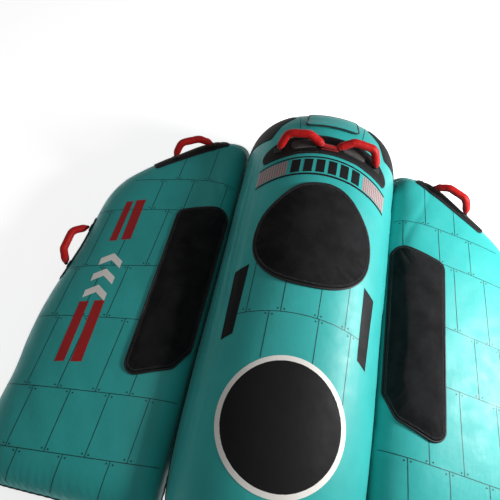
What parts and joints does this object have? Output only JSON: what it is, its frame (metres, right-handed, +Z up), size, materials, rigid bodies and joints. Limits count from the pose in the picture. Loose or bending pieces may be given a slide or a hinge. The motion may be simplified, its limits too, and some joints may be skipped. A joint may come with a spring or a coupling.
{
  "type": "towable tube",
  "caption": "Inflatable deck tube towed behind a boat: raised centre body between two flat wings, with foam pads and padded grab handles for riders lying prone.",
  "frame": {"origin": "on the floor, below the centre of the bounding box", "axes": "+Z up, +Y forward towards the tow point, +X to the right of a rider who lies facing the tow point"},
  "size_m": [2.0568, 1.798, 0.6425],
  "materials": {
    "deck_nylon": "satin coated nylon",
    "underside_nylon": "matte coated nylon",
    "black_welt": "matte",
    "bladder_vinyl": "smooth vinyl",
    "pad_foam": "matte knit-faced foam",
    "guard_foam": "matte foam",
    "patch_rubber": "matte",
    "side_panel": "matte",
    "joining_web": "matte",
    "handle_rope": "matte",
    "grip_sleeve": "satin nylon over foam",
    "handle_webbing": "matte webbing",
    "flap_nylon": "satin coated nylon",
    "tow_webbing": "matte webbing",
    "tow_metal": "satin",
    "valve_plastic": "matte",
    "cap_plastic": "matte",
    "zipper_tape": "matte",
    "zipper_metal": "satin",
    "pull_plastic": "matte"
  },
  "bodies": {
    "hull": {"chest_pad": "pad_foam", "fuselage_bladder": "bladder_vinyl", "fuselage_bottom_cover": "underside_nylon", "fuselage_handle_tabs": "handle_webbing", "fuselage_seam_welt": "black_welt", "fuselage_top_cover": "deck_nylon", "fuselage_valve": "valve_plastic", "fuselage_zipper_tape": "zipper_tape", "handle_crescent": "patch_rubber", "left_front_handle_patch": "patch_rubber", "left_handle_tabs": "handle_webbing", "left_joining_web": "joining_web", "left_knuckle_guard": "guard_foam", "left_nose_panel": "side_panel", "left_side_handle_patch": "patch_rubber", "left_wing_bladder": "bladder_vinyl", "left_wing_bottom_cover": "underside_nylon", "left_wing_pad": "pad_foam", "left_wing_seam_welt": "black_welt", "left_wing_top_cover": "deck_nylon", "left_wing_valve": "valve_plastic", "left_wing_zipper_tape": "zipper_tape", "right_front_handle_patch": "patch_rubber", "right_handle_tabs": "handle_webbing", "right_joining_web": "joining_web", "right_knuckle_guard": "guard_foam", "right_nose_panel": "side_panel", "right_side_handle_patch": "patch_rubber", "right_wing_bladder": "bladder_vinyl", "right_wing_bottom_cover": "underside_nylon", "right_wing_pad": "pad_foam", "right_wing_seam_welt": "black_welt", "right_wing_top_cover": "deck_nylon", "right_wing_valve": "valve_plastic", "right_wing_zipper_tape": "zipper_tape", "tow_web": "tow_webbing"},
    "left_fuselage_handle": {"left_fuselage_handle_core": "handle_rope", "left_fuselage_grip": "grip_sleeve"},
    "left_front_handle": {"left_front_handle_core": "handle_rope", "left_front_grip": "grip_sleeve"},
    "left_side_handle": {"left_side_handle_core": "handle_rope", "left_side_grip": "grip_sleeve"},
    "right_fuselage_handle": {"right_fuselage_handle_core": "handle_rope", "right_fuselage_grip": "grip_sleeve"},
    "right_front_handle": {"right_front_handle_core": "handle_rope", "right_front_grip": "grip_sleeve"},
    "right_side_handle": {"right_side_handle_core": "handle_rope", "right_side_grip": "grip_sleeve"},
    "nose_flap": {"nose_flap": "flap_nylon"},
    "tow_plate": {"tow_plate": "tow_metal"},
    "fuselage_valve_cap": {"fuselage_valve_cap": "cap_plastic"},
    "fuselage_zipper_slider": {"fuselage_zipper_slider": "zipper_metal"},
    "fuselage_zipper_pull": {"fuselage_zipper_pull": "pull_plastic"},
    "right_wing_valve_cap": {"right_wing_valve_cap": "cap_plastic"},
    "right_wing_zipper_slider": {"right_wing_zipper_slider": "zipper_metal"},
    "right_wing_zipper_pull": {"right_wing_zipper_pull": "pull_plastic"},
    "left_wing_valve_cap": {"left_wing_valve_cap": "cap_plastic"},
    "left_wing_zipper_slider": {"left_wing_zipper_slider": "zipper_metal"},
    "left_wing_zipper_pull": {"left_wing_zipper_pull": "pull_plastic"}
  },
  "joints": [
    {"name": "right_fuselage_handle_fold", "type": "hinge", "parent": "hull", "child": "right_fuselage_handle", "pos_m": [0.19814, 0.57181, 0.53785], "axis": [-0.9551, 0.067, 0.2885], "range_deg": [-45, 20], "stiffness_Nm_per_rad": 0.6},
    {"name": "left_fuselage_handle_fold", "type": "hinge", "parent": "hull", "child": "left_fuselage_handle", "pos_m": [-0.19814, 0.57181, 0.53785], "axis": [-0.9551, -0.067, -0.2885], "range_deg": [-45, 20], "stiffness_Nm_per_rad": 0.6},
    {"name": "right_front_handle_fold", "type": "hinge", "parent": "hull", "child": "right_front_handle", "pos_m": [0.65934, 0.60039, 0.32106], "axis": [-0.8509, 0.5089, 0.13], "range_deg": [-45, 35], "stiffness_Nm_per_rad": 0.6},
    {"name": "left_front_handle_fold", "type": "hinge", "parent": "hull", "child": "left_front_handle", "pos_m": [-0.65934, 0.60039, 0.32106], "axis": [-0.8509, -0.5089, -0.13], "range_deg": [-45, 35], "stiffness_Nm_per_rad": 0.6},
    {"name": "right_side_handle_fold", "type": "hinge", "parent": "hull", "child": "right_side_handle", "pos_m": [0.9507, 0.20494, 0.22008], "axis": [0.1227, -0.9924, 0.0101], "range_deg": [-25, 45], "stiffness_Nm_per_rad": 0.6},
    {"name": "left_side_handle_fold", "type": "hinge", "parent": "hull", "child": "left_side_handle", "pos_m": [-0.9507, 0.20494, 0.22008], "axis": [0.1227, 0.9924, -0.0101], "range_deg": [-25, 45], "stiffness_Nm_per_rad": 0.6},
    {"name": "nose_flap_lift", "type": "hinge", "parent": "hull", "child": "nose_flap", "pos_m": [0, 0.792, 0.52928], "axis": [-1, 0, 0], "range_deg": [0, 100]},
    {"name": "tow_plate_swing", "type": "hinge", "parent": "hull", "child": "tow_plate", "pos_m": [0, 0.8891, 0.215], "axis": [1, 0, 0], "range_deg": [0, 120]},
    {"name": "fuselage_valve_cap_open", "type": "hinge", "parent": "hull", "child": "fuselage_valve_cap", "pos_m": [0, -0.89694, 0.336], "axis": [-1, 0, 0], "range_deg": [0, 125]},
    {"name": "fuselage_zipper_run", "type": "slide", "parent": "hull", "child": "fuselage_zipper_slider", "axis": [-1, 0, 0], "range_m": [0, 0.25]},
    {"name": "fuselage_pull_swing", "type": "hinge", "parent": "fuselage_zipper_slider", "child": "fuselage_zipper_pull", "pos_m": [0.13, -0.89355, 0.187], "axis": [-1, 0, 0], "range_deg": [-5, 140]},
    {"name": "right_wing_valve_cap_open", "type": "hinge", "parent": "hull", "child": "right_wing_valve_cap", "pos_m": [0.6, -0.8142, 0.216], "axis": [-1, 0, 0], "range_deg": [0, 125]},
    {"name": "right_wing_zipper_run", "type": "slide", "parent": "hull", "child": "right_wing_zipper_slider", "axis": [-1, 0, 0], "range_m": [0, 0.41]},
    {"name": "right_wing_pull_swing", "type": "hinge", "parent": "right_wing_zipper_slider", "child": "right_wing_zipper_pull", "pos_m": [0.88, -0.8108, 0.099], "axis": [-1, 0, 0], "range_deg": [-5, 140]},
    {"name": "left_wing_valve_cap_open", "type": "hinge", "parent": "hull", "child": "left_wing_valve_cap", "pos_m": [-0.6, -0.8142, 0.216], "axis": [-1, 0, 0], "range_deg": [0, 125]},
    {"name": "left_wing_zipper_run", "type": "slide", "parent": "hull", "child": "left_wing_zipper_slider", "axis": [-1, 0, 0], "range_m": [0, 0.41]},
    {"name": "left_wing_pull_swing", "type": "hinge", "parent": "left_wing_zipper_slider", "child": "left_wing_zipper_pull", "pos_m": [-0.46, -0.8108, 0.099], "axis": [-1, 0, 0], "range_deg": [-5, 140]}
  ]
}
